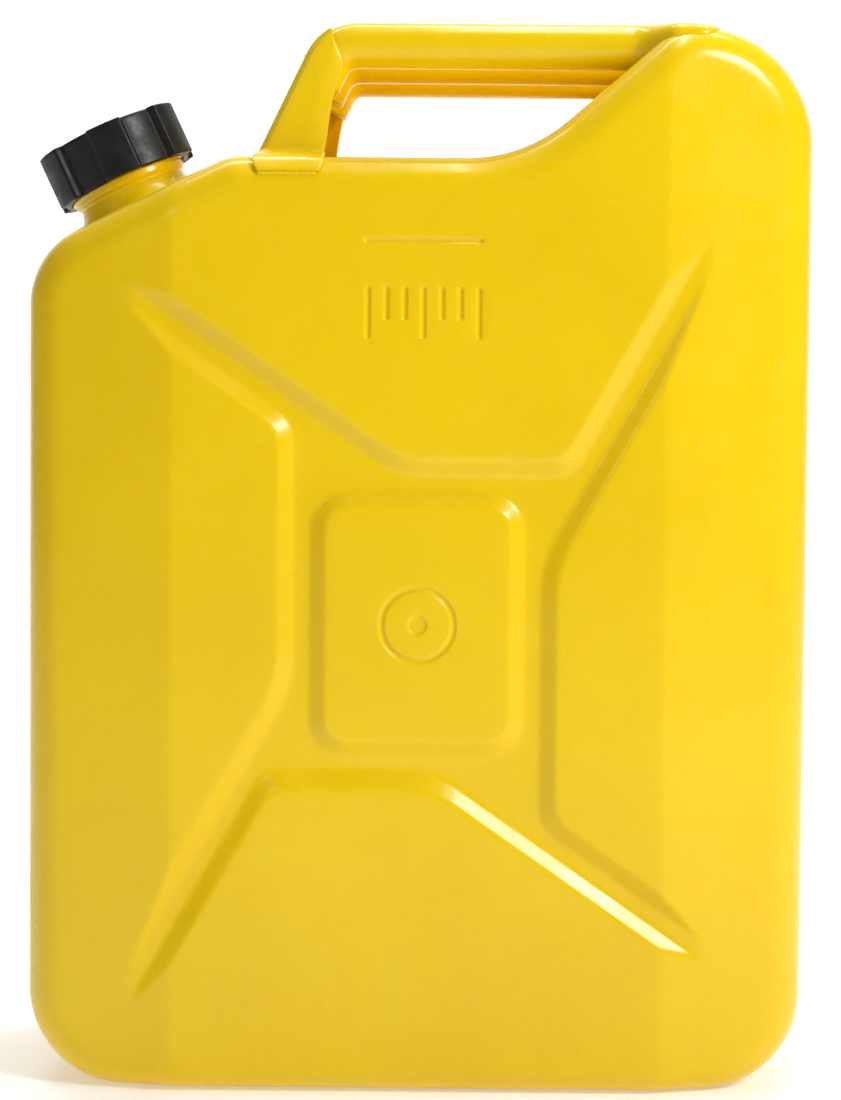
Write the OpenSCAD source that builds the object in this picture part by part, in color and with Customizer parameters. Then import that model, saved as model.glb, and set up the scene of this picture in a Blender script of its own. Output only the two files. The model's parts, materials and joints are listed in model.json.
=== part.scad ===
// Twenty litre pressed steel jerry can with a moulded screw cap.
// Frame: origin in the middle of the base, +X towards the hump, -X towards the filler,
// -Y the front face, +Z up. All sizes in millimetres.

/* [Overall] */
// Width of the body across the two side walls
body_w = 345; // [300:1:400]
// Depth of the body from the front face to the rear face
body_d = 165; // [145:1:190]
// Height from the base to the top of the handle bars
total_h = 470; // [430:1:540]

/* [Outline] */
// Radius of the two bottom corners
bottom_corner_r = 41; // [30:1:50]
// Radius of the outer corner of the hump
hump_corner_r = 50; // [35:1:50]
// Radius of the inner corner of the hump
hump_inner_r = 30; // [24:1:32]
// How far the top of the hump lies below the top of the bars
hump_drop = 3; // [2:0.5:6]
// Slope of the hump down into the hand recess
hump_slope = 41; // [36:1:46]
// Distance from the middle of the can to the foot of the hump slope
recess_right = 45; // [40:1:52]
// Distance from the middle of the can to the top of the shoulder
recess_left = 83; // [78:1:84]
// Radius in the bottom right of the hand recess
recess_r = 68; // [50:1:68]
// Depth of the hand recess below the top of the bars
recess_depth = 60.5; // [56:0.5:70]
// Slope of the shoulder that carries the filler
shoulder_slope = 25; // [20:1:27]
// Radius of the corner between the left side and the shoulder
shoulder_r = 36; // [28:1:38]

/* [Half shells] */
// Thickness of the steel sheet
sheet = 1; // [0.8:0.1:1.5]
// Radius of the rounded edge between a face and the side walls
edge_r = 16; // [12:1:20]
// Width of the flat middle field of a face, between the two bevels
flat_w = 214; // [190:1:230]
// Angle by which the side strips of a face are folded back
bevel_angle = 14; // [8:1:16]
// Depth of the recessed seam between the two half shells
seam_depth = 8; // [5:0.5:10]
// Width of the floor of the recessed seam
seam_floor_w = 12; // [10:1:16]

/* [Pressed pattern] */
// Depth of the pressed channels
channel_depth = 4.5; // [3:0.5:6]
// Width of a channel's floor
channel_floor_w = 7; // [5:0.5:9]
// Width of a channel's sloping wall
channel_wall_w = 6.8; // [5:0.2:8]
// Slope of the upper left and lower right channels
shallow_angle = 34.8; // [30:0.2:40]
// Distance of those two channels from the middle of the badge
shallow_offset = 44.7; // [42:0.1:48]
// Slope of the upper right and lower left channels
steep_angle = 60.5; // [55:0.5:65]
// Distance of those two channels from the middle of the badge
steep_offset = 29.8; // [27:0.1:33]
// Width of the raised badge field
badge_w = 80; // [70:1:86]
// Height of the raised badge field
badge_h = 102; // [90:1:110]
// Corner radius of the raised badge field
badge_r = 15; // [10:1:20]
// Height of the middle of the badge above the base
badge_z = 206.5; // [190:0.5:225]
// Depth of the engraved marks
mark_depth = 0.6; // [0.3:0.1:0.7]
// Height of the engraved fill line above the base
fill_line_z = 372.5; // [360:0.5:378]

/* [Handle] */
// Diameter of a handle bar
bar_d = 20; // [18:0.5:22]
// Wall of a handle bar
bar_wall = 1.5; // [1:0.1:2]
// Distance between neighbouring bars
bar_pitch = 50; // [44:1:52]
// Outer radius of the bend at the left end of each bar
bend_r = 25; // [23:1:30]
// Distance from the middle of the can to the bracket's outer bottom edge
bracket_foot_x = 73; // [70:1:76]
// Steepness of the bracket's sloping leg
leg_slope = 64.2; // [60:0.2:70]
// Thickness of the bracket's sheet
bracket_t = 2; // [1.5:0.1:2.5]
// Width of a side flange of the bracket at its foot
flange_foot_w = 30; // [26:1:34]
// Radius of the weld beads on the handle
weld_r = 1.6; // [1:0.1:2.2]

/* [Neck] */
// Distance from the middle of the can to the middle of the neck, on the shoulder
neck_x = 128; // [124:0.5:130]
// Inside diameter of the neck
neck_bore = 46; // [40:0.5:47]
// Wall of the neck's waist
neck_wall = 2.2; // [1.5:0.1:2.6]
// Outer diameter of the thread's core on the neck
thread_core_d = 53.6; // [52:0.2:54.2]
// Height of the neck's lip above the shoulder
neck_h = 35; // [33:0.5:38]
// Height at which the threaded sleeve starts
sleeve_start = 12; // [11:0.5:13]
// Rise of the screw thread in one turn
thread_pitch = 3; // [2.5:0.1:3.5]
// Height of the thread's ridge above its core
thread_h = 1; // [0.7:0.1:1.2]
// Diameter of the vent pipe
vent_d = 9; // [7:0.5:10]
// Wall of the vent pipe
vent_wall = 0.8; // [0.6:0.1:1.2]

/* [Cap] */
// Outer diameter of the cap over its grip lobes
cap_d = 68.5; // [67:0.5:74]
// Height of the cap without its centre disc
cap_h = 24.5; // [23:0.5:28]
// Number of grip lobes
lobes = 6; // [5:1:8]
// Depth of the grip recesses between the lobes
lobe_depth = 3.6; // [2.5:0.1:3.7]
// Thickness of the cap's top
cap_top_t = 3; // [2.5:0.1:4]
// Diameter of the centre disc
disc_d = 25; // [20:0.5:32]
// Height of the centre disc above the cap's top
disc_h = 3.2; // [2:0.1:5]
// Thickness of the gasket
gasket_t = 2; // [1.5:0.1:2.2]
// Thickness of the liner that backs the gasket
liner_t = 1; // [0.8:0.1:1.2]

/* [Clearances] */
// Radial gap between the neck's thread and the cap's core
thread_gap = 0.3; // [0.2:0.05:0.4]
// Gap between stacked flat faces under the cap
stack_gap = 0.1; // [0.05:0.05:0.2]
// Gap between a tube and the hole that it passes through
hole_gap = 0.1; // [0.05:0.05:0.2]
// Gap between the side flanges and the outer bars
flange_gap = 0.3; // [0.2:0.1:0.5]

/* [Hidden] */

yellow = [0.93, 0.78, 0.02];
arc_step = 11.25;
edge_steps = 6;
fine = 96;
tiny = 0.01;

// Side view outline of the body
half_w = body_w / 2;
half_d = body_d / 2;
hump_z = total_h - hump_drop;
recess_z = total_h - recess_depth;
shoulder_z = recess_z - (half_w - recess_left) * tan(shoulder_slope);
hump_inner_x = recess_right + (hump_z - recess_z) / tan(hump_slope);
hump_flat = 0.1;
hump_room = half_w - hump_inner_x - hump_inner_r * tan(hump_slope / 2) - hump_flat;
hump_outer_r = min(hump_corner_r, hump_room);
flat_x = flat_w / 2;
bevel_rise = tan(bevel_angle);
fan_z = body_w * 0.64;

// Pressed pattern
wall_angle = atan(channel_depth / channel_wall_w);
cut_rise = channel_depth + 6;

// Filler
neck_z = recess_z - (neck_x - recess_left) * tan(shoulder_slope);
neck_r = neck_bore / 2;
waist_r = neck_r + neck_wall;
core_r = thread_core_d / 2;
flare_r = waist_r + 4.2;
ring_r = flare_r + 2.4;
ring_t = 2;
neck_thread_z = sleeve_start + 2.5;
cap_thread_z = neck_thread_z + thread_pitch * 1.5;
vent_r = vent_d / 2;
vent_in = 3;
vent_pos = neck_r - vent_r - hole_gap;
cap_z = neck_h + stack_gap + gasket_t + liner_t + 2 * stack_gap + cap_top_t - cap_h;
cap_inner_r = core_r + thread_h + thread_gap;
cap_r = cap_d / 2;
disc_seat = 1;
disc_gap = 0.1;
disc_r = disc_d / 2;
lobe_phase = 19 / 60;

// Handle
bar_r = bar_d / 2;
bar_z = total_h - bar_r;
bend_mid_r = bend_r - bar_r;
leg_run = 1 / tan(leg_slope);
bend_corner_x = -bracket_foot_x + (total_h - recess_z) * leg_run;
bar_start_x = bend_corner_x + bend_r * tan(leg_slope / 2);
bar_end_x = hump_inner_x + hump_inner_r * tan(hump_slope / 2) - 3;
flange_y = bar_pitch + bar_r + flange_gap;
lip_steps = 4;
lip_angle = lip_steps * 90 / edge_steps;
bend_end_x = bar_start_x - bend_r * sin(leg_slope);
bend_end_z = total_h - bend_r * (1 - cos(leg_slope));
bar_foot_x = bar_start_x - bend_mid_r * sin(leg_slope);
bar_foot_z = bar_z - bend_mid_r * (1 - cos(leg_slope));

// ---- Outline helpers -------------------------------------------------------

function unit(v) = v / norm(v);
function left_of(u) = [-u[1], u[0]];
function cross2(a, b) = a[0] * b[1] - a[1] * b[0];
function turn_of(u1, u2) = atan2(cross2(u1, u2), u1 * u2);
function spin(v, a) = [v[0] * cos(a) - v[1] * sin(a), v[0] * sin(a) + v[1] * cos(a)];

// A point of the shoulder line
function shoulder_point(x) = [x, recess_z + (x + recess_left) * tan(shoulder_slope), 0];

// Corners of the outline as [x, z, radius], anticlockwise seen from the front.
// Corners of radius 0 lie on a straight run and only add a point there, which keeps its x.
corners = [
    [-half_w, 0, bottom_corner_r],
    [-flat_x, 0, 0],
    [flat_x, 0, 0],
    [half_w, 0, bottom_corner_r],
    [half_w, hump_z, hump_outer_r],
    [hump_inner_x, hump_z, hump_inner_r],
    [recess_right, recess_z, recess_r],
    [-recess_left, recess_z, 24],
    shoulder_point(-flat_x),
    [-half_w, shoulder_z, shoulder_r]
];

function corner_arc(i) =
    let (
        n = len(corners),
        q = corners[(i + n - 1) % n],
        p = corners[i],
        s = corners[(i + 1) % n],
        u1 = unit([p[0] - q[0], p[1] - q[1]]),
        u2 = unit([s[0] - p[0], s[1] - p[1]]),
        turn = turn_of(u1, u2),
        steps = max(1, ceil(abs(turn) / arc_step - 0.01))
    )
    p[2] == 0
        ? [[p[0], p[1], 0, 1 / left_of(u1)[1], 1, 0]]
        : let (
            side = sign(turn),
            back = p[2] * tan(abs(turn) / 2),
            c = [p[0], p[1]] - u1 * back + left_of(u1) * side * p[2]
        )
        [for (k = [0:steps])
            let (w = spin(-left_of(u1) * side, turn * k / steps))
            [c[0], c[1], w[0], w[1], -side, p[2]]];

// Every outline point as [centre x, centre z, direction x, direction z, growth, radius]
outline_rays = [for (i = [0:len(corners) - 1]) each corner_arc(i)];

// The outline moved inwards by inset
function inset_point(ray, inset) =
    ray[5] == 0
        ? [ray[0] + ray[2] * inset, ray[1] + ray[3] * inset]
        : [ray[0] + ray[2] * (ray[5] + ray[4] * inset),
           ray[1] + ray[3] * (ray[5] + ray[4] * inset)];

// The seam's recess fades out to nothing where the neck stands
function seam_share(ray) =
    let (p = inset_point(ray, 0), away = norm(p - [-neck_x, neck_z]))
    min(1, max(0, (away - 29) / 14));

// Depth of a face at x, measured from the seam plane
function face_depth(x) = half_d - max(0, abs(x) - flat_x) * bevel_rise;

// Profile of the side wall at the seam: [inset, share of the seam's depth, distance from the seam]
function seam_profile(skin) = [
    [skin, 1, skin > 0 ? -1 : 0],
    [skin, 1, seam_floor_w / 2 + skin],
    [skin, 0.25, seam_floor_w / 2 + seam_depth * 0.5 + skin],
    [skin, 0, seam_floor_w / 2 + seam_depth * 0.8 + skin]
];

function ring_seam(row) = [for (ray = outline_rays)
    let (p = inset_point(ray, row[0] + row[1] * seam_depth * seam_share(ray)))
    [p[0], -row[2], p[1]]];

function ring_edge(a, skin) =
    let (r = edge_r - skin)
    [for (ray = outline_rays)
        let (p = inset_point(ray, skin + r * (1 - cos(a))))
        [p[0], -(face_depth(p[0]) - skin - r * (1 - sin(a))), p[1]]];

function shell_rings(skin) = concat(
    [for (row = seam_profile(skin)) ring_seam(row)],
    [for (k = [0:edge_steps]) ring_edge(90 * k / edge_steps, skin)]
);

// ---- Half shells -----------------------------------------------------------

// Which part of a face the edge between two outline points belongs to:
// -1 left bevel, 0 flat middle field, 1 right bevel
function field_of(p, q) =
    let (x = (p[0] + q[0]) / 2)
    x < -flat_x ? -1 : x > flat_x ? 1 : 0;

// Rings from the seam to the face, closed by a fan at the seam and by three fans on the face
module lofted_half(skin) {
    rings = shell_rings(skin);
    n = len(outline_rays);
    m = len(rings);
    last = rings[m - 1];
    face_y = -(half_d - skin);
    hubs = [[-flat_x, face_y, fan_z], [0, face_y, fan_z], [flat_x, face_y, fan_z]];
    points = concat([for (r = rings) each r], [[0, rings[0][0][1], fan_z]], hubs);
    hub_0 = m * n + 2;
    top = (m - 1) * n;
    sides = [for (k = [0:m - 2], i = [0:n - 1])
        let (a = k * n + i, b = k * n + (i + 1) % n)
        each [[b, a, b + n], [b + n, a, a + n]]];
    seam_fan = [for (i = [0:n - 1]) [m * n, i, (i + 1) % n]];
    face_fans = [for (i = [0:n - 1])
        let (
            j = (i + 1) % n,
            k = (i + 2) % n,
            here = hub_0 + field_of(last[i], last[j]),
            next = hub_0 + field_of(last[j], last[k])
        )
        each concat(
            [[here, top + j, top + i]],
            here == next ? [] : [[here, next, top + j]]
        )];
    polyhedron(points, concat(sides, seam_fan, face_fans));
}

module outline_2d(inset) {
    polygon([for (ray = outline_rays) inset_point(ray, inset)]);
}

// How far the foot of a channel wall moves sideways on the inside of the sheet
function ease(skin) = skin * tan(wall_angle / 2);
function floor_y(skin) = -(half_d - channel_depth - skin);

// A straight channel that runs outwards from the badge, moved sideways by its offset
module channel(angle, offset, skin) {
    height = cut_rise + skin;
    floor_half = channel_floor_w / 2 + ease(skin);
    top_half = floor_half + height / tan(wall_angle);
    translate([0, floor_y(skin), badge_z]) rotate([0, -angle, 0]) translate([0, 0, offset])
        hull() rotate([90, 0, 90]) linear_extrude(body_w)
            polygon([[0, -floor_half], [-height, -top_half], [-height, top_half], [0, floor_half]]);
}

module field(w, h, r) {
    hull() for (sx = [-1, 1], sz = [-1, 1])
        translate([sx * (w / 2 - r), sz * (h / 2 - r)]) circle(r, $fn = 32);
}

// A rounded field whose walls lean outwards by spread while it rises towards -Y
module leaning_field(w, h, r, height, spread) {
    rotate([90, 0, 0])
        linear_extrude(height, scale = [(w + 2 * spread) / w, (h + 2 * spread) / h])
            field(w, h, r);
}

// The raised badge stands in a ring-shaped field that the four channels run into
module badge_surround(skin) {
    height = cut_rise + skin;
    wide = 2 * (channel_wall_w + channel_floor_w + ease(skin));
    translate([0, floor_y(skin), badge_z])
        leaning_field(badge_w + wide, badge_h + wide, badge_r + 6,
                      height, height / tan(wall_angle));
}

module badge_block(skin) {
    below = 1;
    height = below + cut_rise + skin + 1;
    wide = 2 * (channel_wall_w - ease(skin) + below / tan(wall_angle));
    translate([0, floor_y(skin) + below, badge_z])
        leaning_field(badge_w + wide, badge_h + wide, badge_r + 5,
                      height, -height / tan(wall_angle));
}

module pressed_pattern(skin) {
    difference() {
        union() {
            channel(180 - shallow_angle, -shallow_offset, skin);
            channel(-shallow_angle, -shallow_offset, skin);
            channel(steep_angle, -steep_offset, skin);
            channel(180 + steep_angle, -steep_offset, skin);
            badge_surround(skin);
        }
        badge_block(skin);
    }
}

module half_body(skin) {
    difference() {
        lofted_half(skin);
        pressed_pattern(skin);
    }
}

module mark_bar(x, z, length, angle) {
    width = 2;
    translate([x, -half_d + mark_depth, z]) rotate([90, -angle, 0])
        linear_extrude(2)
            hull() for (s = [-1, 1])
                translate([s * (length - width) / 2, 0]) circle(width / 2, $fn = 16);
}

// Fill line with a row of plain level ticks under it, and a plain ring on the badge
module engraved_marks() {
    mark_bar(1.5, fill_line_z, 51, 0);
    for (i = [-3:3])
        mark_bar(1.5 + i * 8, fill_line_z - 31 + (i % 3 == 0 ? 0 : 4), i % 3 == 0 ? 22 : 14, 90);
    translate([0, -half_d + mark_depth, badge_z]) rotate([90, 0, 0])
        linear_extrude(2) difference() {
            circle(17, $fn = 64);
            circle(14.5, $fn = 64);
        }
    translate([0, -half_d + mark_depth, badge_z]) rotate([90, 0, 0])
        cylinder(r = 4, h = 2, $fn = 32);
}

module half_shell(marked) {
    difference() {
        half_body(0);
        half_body(sheet);
        if (marked) engraved_marks();
        at_neck() translate([0, 0, -30]) cylinder(r = waist_r + hole_gap, h = 50, $fn = fine);
    }
}

module front_half_shell() {
    color(yellow) half_shell(true);
}

module rear_half_shell() {
    color(yellow) mirror([0, 1, 0]) half_shell(false);
}

// Bead that joins the half shells on the floor of the recessed seam
module seam_weld() {
    bead_w = 4;
    bead_h = 0.9;
    color(yellow) difference() {
        translate([0, bead_w / 2, 0]) rotate([90, 0, 0]) linear_extrude(bead_w)
            difference() {
                polygon([for (ray = outline_rays)
                    inset_point(ray, seam_depth * seam_share(ray) - bead_h)]);
                polygon([for (ray = outline_rays)
                    inset_point(ray, seam_depth * seam_share(ray))]);
            }
        at_neck() translate([0, 0, -5]) cylinder(r = ring_r + 0.5, h = 20, $fn = fine);
    }
}

// ---- Handle ----------------------------------------------------------------

// The body's outline as a solid bar across the can, for trimming the bars on the hump
module hump_block() {
    translate([0, body_d, 0]) rotate([90, 0, 0]) linear_extrude(2 * body_d) outline_2d(0);
}

module bar_bend(r) {
    translate([bar_start_x, 0, bar_z - bend_mid_r]) rotate([90, 0, 0])
        rotate([0, 0, 90]) rotate_extrude(angle = leg_slope, $fn = fine)
            translate([bend_mid_r, 0]) circle(r, $fn = 48);
}

module bar_straight(r) {
    translate([bar_start_x, 0, bar_z]) rotate([0, 90, 0])
        cylinder(r = r, h = bar_end_x - bar_start_x, $fn = fine);
}

module handle_bar(y) {
    color(yellow) translate([0, y, 0]) difference() {
        union() {
            bar_straight(bar_r);
            bar_bend(bar_r);
        }
        bar_straight(bar_r - bar_wall);
        bar_bend(bar_r - bar_wall);
        hump_block();
    }
}

module handle_bar_front() { handle_bar(-bar_pitch); }
module handle_bar_middle() { handle_bar(0); }
module handle_bar_rear() { handle_bar(bar_pitch); }

// Outer edge of the sloping leg
function leg_x(z) = -bracket_foot_x + (z - recess_z) * leg_run;

// A point of a flange's free edge, from its share of the height and of the foot's width
function flange_point(height, width) =
    let (z = recess_z + height * recess_depth)
    [leg_x(z) + width * flange_foot_w, z];

// Side flange: foot, waisted inner edge, crease beside the bar, outer bend and outer edge
module flange_outline() {
    first_angle = 90 + leg_slope * 0.3;
    bend_steps = 8;
    polygon(concat(
        [[leg_x(recess_z), recess_z], flange_point(0, 1)],
        [flange_point(0.13, 0.93), flange_point(0.33, 0.78)],
        [flange_point(0.51, 0.675), flange_point(0.635, 0.63)],
        [flange_point(0.75, 0.5), flange_point(0.87, 0.265)],
        [for (k = [0:bend_steps])
            let (a = first_angle + (90 + leg_slope - first_angle) * k / bend_steps)
            [bar_start_x + bend_r * cos(a), total_h - bend_r + bend_r * sin(a)]]
    ));
}

// Sloping web between the two side flanges, with a foot lip outside each flange
module handle_bracket() {
    down = [-cos(leg_slope), -sin(leg_slope)];
    inwards = [sin(leg_slope), -cos(leg_slope)];
    top_outer = [bend_end_x, bend_end_z] + weld_r * down;
    top_inner = top_outer + bracket_t * inwards;
    web_foot_w = bracket_t / sin(leg_slope);
    color(yellow) {
        translate([0, flange_y, 0]) rotate([90, 0, 0]) linear_extrude(2 * flange_y)
            polygon([
                [leg_x(recess_z), recess_z], [leg_x(recess_z) + web_foot_w, recess_z],
                top_inner, top_outer
            ]);
        for (s = [-1, 1]) {
            translate([0, s > 0 ? flange_y + bracket_t : -flange_y, 0]) rotate([90, 0, 0])
                linear_extrude(bracket_t) flange_outline();
            bracket_lip(s);
        }
    }
}

// Lip that runs from a side flange out over the rounded top edge of a half shell
module bracket_lip(s) {
    edge_y = half_d - edge_r;
    edge_z = recess_z - edge_r;
    angles = [for (k = [0:lip_steps]) 90 - lip_angle * k / lip_steps];
    mirror([0, s > 0 ? 0 : 1, 0])
        translate([-bracket_foot_x, 0, 0]) rotate([90, 0, 90]) linear_extrude(flange_foot_w)
            polygon(concat(
                [[flange_y + 1, recess_z]],
                [for (a = angles) [edge_y + edge_r * cos(a), edge_z + edge_r * sin(a)]],
                [for (k = [lip_steps:-1:0])
                    let (a = angles[k], r = edge_r + bracket_t)
                    [edge_y + r * cos(a), edge_z + r * sin(a)]],
                [[flange_y + 1, recess_z + bracket_t]]
            ));
}

// Beads round the bars' lower ends where they meet the bracket's web
module bracket_bar_welds() {
    color(yellow) for (y = [-bar_pitch, 0, bar_pitch])
        translate([bar_foot_x, y, bar_foot_z]) rotate([0, -90 - leg_slope, 0])
            difference() {
                cylinder(r = bar_r, h = weld_r, $fn = fine);
                translate([0, 0, -1]) cylinder(r = bar_r - bar_wall, h = weld_r + 2, $fn = fine);
            }
}

module bar_hump_welds() {
    color(yellow) for (y = [-bar_pitch, 0, bar_pitch])
        translate([0, y, 0]) intersection() {
            difference() {
                bar_straight(bar_r + weld_r);
                translate([-50, 0, 0]) bar_straight(bar_r + tiny);
                translate([50, 0, 0]) bar_straight(bar_r + tiny);
                hump_block();
            }
            translate([0, body_d, 0]) rotate([90, 0, 0]) linear_extrude(2 * body_d)
                outline_2d(-weld_r);
            translate([0, -body_d, 0]) cube([bar_end_x, 2 * body_d, bar_z]);
        }
}

// Bead along the free edge of a foot lip, on the rounded edge of the half shell
module foot_weld(s) {
    edge_y = half_d - edge_r;
    bead_at = edge_r + weld_r * 0.6;
    color(yellow) mirror([0, s > 0 ? 0 : 1, 0])
        translate([-bracket_foot_x, edge_y, recess_z - edge_r]) rotate([90, 0, 90])
            difference() {
                rotate([0, 0, 90 - lip_angle]) translate([bead_at, 0, 0])
                    cylinder(r = weld_r, h = flange_foot_w, $fn = fine);
                translate([0, 0, -1])
                    cylinder(r = edge_r, h = flange_foot_w + 2, $fn = 4 * edge_steps);
                rotate([0, 0, 90 - lip_angle])
                    translate([edge_r - 5, 0, -1]) cube([10, 10, flange_foot_w + 2]);
            }
}

module bracket_foot_weld_front() { foot_weld(-1); }
module bracket_foot_weld_rear() { foot_weld(1); }

// ---- Filler neck -----------------------------------------------------------

// Everything on the neck is drawn upright with the shoulder's surface at zero
module at_neck() {
    translate([-neck_x, 0, neck_z]) rotate([0, -shoulder_slope, 0]) children();
}

// One helical ridge: a trapezoid swept up a core, pointing outwards or inwards
module thread_ridge(core, height, start, turns, outward) {
    per_turn = 30;
    steps = round(turns * per_turn);
    root = outward ? -0.4 : 0.4;
    crest = outward ? height : -height;
    base_half = thread_pitch * 0.3;
    tip_half = thread_pitch * 0.1;
    fade = 8;
    function lift(k) = min(1, max(0.05, min(k, steps - k) / fade));
    section = [for (k = [0:steps])
        let (a = 360 * k / per_turn, z = start + thread_pitch * k / per_turn, f = lift(k))
        each [for (c = [
                [core + root, -base_half], [core + crest * f, -tip_half],
                [core + crest * f, tip_half], [core + root, base_half]])
            [c[0] * cos(a), c[0] * sin(a), z + c[1]]]];
    walls = [for (k = [0:steps - 1], j = [0:3])
        let (a = 4 * k + j, b = 4 * k + (j + 1) % 4)
        each [[a, b, b + 4], [a, b + 4, a + 4]]];
    e = 4 * steps;
    faces = concat(walls, [[0, 2, 1], [0, 3, 2], [e, e + 1, e + 2], [e, e + 2, e + 3]]);
    polyhedron(section, outward ? faces : [for (f = faces) [f[0], f[2], f[1]]]);
}

// Flat doubling ring on the shoulder round the foot of the neck
module neck_ring() {
    color(yellow) at_neck() rotate_extrude($fn = fine)
        polygon([
            [waist_r + hole_gap, 0], [ring_r, 0], [ring_r - 1, ring_t], [waist_r + hole_gap, ring_t]
        ]);
}

module neck_weld() {
    color(yellow) at_neck() rotate_extrude($fn = fine)
        polygon([[flare_r, ring_t], [ring_r - 1.1, ring_t], [flare_r, ring_t + 1]]);
}

module threaded_neck() {
    below = 5;
    color(yellow) at_neck() {
        rotate_extrude($fn = fine)
            polygon([
                [neck_r, -below], [waist_r, -below], [waist_r, ring_t], [flare_r, ring_t],
                [flare_r, ring_t + 1], [flare_r - 2, ring_t + 4.6],
                [waist_r + 0.6, ring_t + 7.4], [waist_r, sleeve_start - 1.5],
                [waist_r, sleeve_start], [core_r, sleeve_start + 1.5],
                [core_r, neck_h - 0.8], [core_r - 0.8, neck_h],
                [neck_r + 0.6, neck_h], [neck_r, neck_h - 0.6]
            ]);
        thread_ridge(core_r, thread_h, neck_thread_z, 5.5, true);
    }
}

// ---- Vent pipe -------------------------------------------------------------

// Pipe from the mouth down the neck, then up into the air space under the hump
module vent_pipe() {
    elbow_r = 14;
    drop = 30;
    rise_angle = 14;
    run = neck_x + hump_inner_x - 62;
    color("lightgrey") at_neck() translate([vent_pos, 0, 0]) {
        difference() {
            vent_path(vent_r, elbow_r, drop, rise_angle, run);
            vent_path(vent_r - vent_wall, elbow_r, drop, rise_angle, run);
        }
    }
}

module vent_path(r, elbow_r, drop, rise_angle, run) {
    turn = 90 - shoulder_slope + rise_angle;
    translate([0, 0, -drop]) cylinder(r = r, h = drop + neck_h - vent_in, $fn = 48);
    translate([elbow_r, 0, -drop]) rotate([90, 0, 0]) rotate([0, 0, 180])
        rotate_extrude(angle = turn, $fn = fine) translate([elbow_r, 0]) circle(r, $fn = 48);
    translate([elbow_r - elbow_r * cos(turn), 0, -drop - elbow_r * sin(turn)])
        rotate([0, 180 - turn, 0]) cylinder(r = r, h = run, $fn = 48);
}

// Strap welded inside the neck that holds the vent pipe
module vent_pipe_clip() {
    clip_t = 1;
    clip_h = 8;
    color("silver") at_neck() translate([0, 0, 8]) intersection() {
        cylinder(r = neck_r, h = clip_h, $fn = fine);
        translate([vent_pos, 0, 0]) difference() {
            cylinder(r = vent_r + clip_t, h = clip_h, $fn = 48);
            translate([0, 0, -1]) cylinder(r = vent_r, h = clip_h + 2, $fn = 48);
        }
    }
}

// ---- Cap -------------------------------------------------------------------

module cap_shell() {
    grip_r = cap_r - lobe_depth;
    chamfer = 0.8;
    top = cap_z + cap_h;
    inner_top = top - cap_top_t;
    color([0.08, 0.08, 0.09]) at_neck() {
        rotate_extrude($fn = fine)
            polygon([
                [cap_inner_r, cap_z], [grip_r, cap_z], [grip_r, top - chamfer],
                [grip_r - chamfer, top], [disc_r + disc_gap, top],
                [disc_r + disc_gap, top - disc_seat], [0, top - disc_seat],
                [0, inner_top], [cap_inner_r, inner_top]
            ]);
        for (i = [0:lobes - 1])
            rotate([0, 0, 360 / lobes * (i + lobe_phase)])
                rotate_extrude(angle = 180 / lobes, $fn = fine)
                    polygon([
                        [grip_r - 0.5, cap_z], [cap_r, cap_z], [cap_r, top - chamfer],
                        [cap_r - chamfer, top], [grip_r - 0.5, top]
                    ]);
        thread_ridge(cap_inner_r, thread_h, cap_thread_z, 1.5, false);
    }
}

module cap_centre_disc() {
    top = cap_z + cap_h;
    color([0.1, 0.1, 0.11]) at_neck() translate([0, 0, top - disc_seat])
        rotate_extrude($fn = fine)
            polygon([
                [0, 0], [disc_r, 0], [disc_r, disc_seat + disc_h - 1],
                [disc_r - 1, disc_seat + disc_h], [0, disc_seat + disc_h]
            ]);
}

module washer(inner, outer, z, thickness) {
    at_neck() translate([0, 0, z]) difference() {
        cylinder(r = outer, h = thickness, $fn = fine);
        translate([0, 0, -1]) cylinder(r = inner, h = thickness + 2, $fn = fine);
    }
}

module cap_liner() {
    color("white") at_neck() translate([0, 0, neck_h + 2 * stack_gap + gasket_t])
        cylinder(r = core_r - 0.3, h = liner_t, $fn = fine);
}

module cap_gasket() {
    color([0.15, 0.15, 0.15]) washer(neck_r - 1, core_r, neck_h + stack_gap, gasket_t);
}

// ---- Assembly --------------------------------------------------------------

front_half_shell();
rear_half_shell();
seam_weld();
handle_bar_front();
handle_bar_middle();
handle_bar_rear();
handle_bracket();
bracket_bar_welds();
bar_hump_welds();
bracket_foot_weld_front();
bracket_foot_weld_rear();
neck_ring();
threaded_neck();
neck_weld();
vent_pipe();
vent_pipe_clip();
cap_shell();
cap_centre_disc();
cap_liner();
cap_gasket();
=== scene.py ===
"""Twenty litre pressed steel jerry can: glossy yellow enamel, triple bar handle, black screw cap.

Shapes are worked out in millimetres in the CAD frame and written to meshes in metres.
"""

import json
import math

import bmesh
import bpy
import numpy as np
from mathutils import Matrix, Vector, geometry, noise


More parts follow.
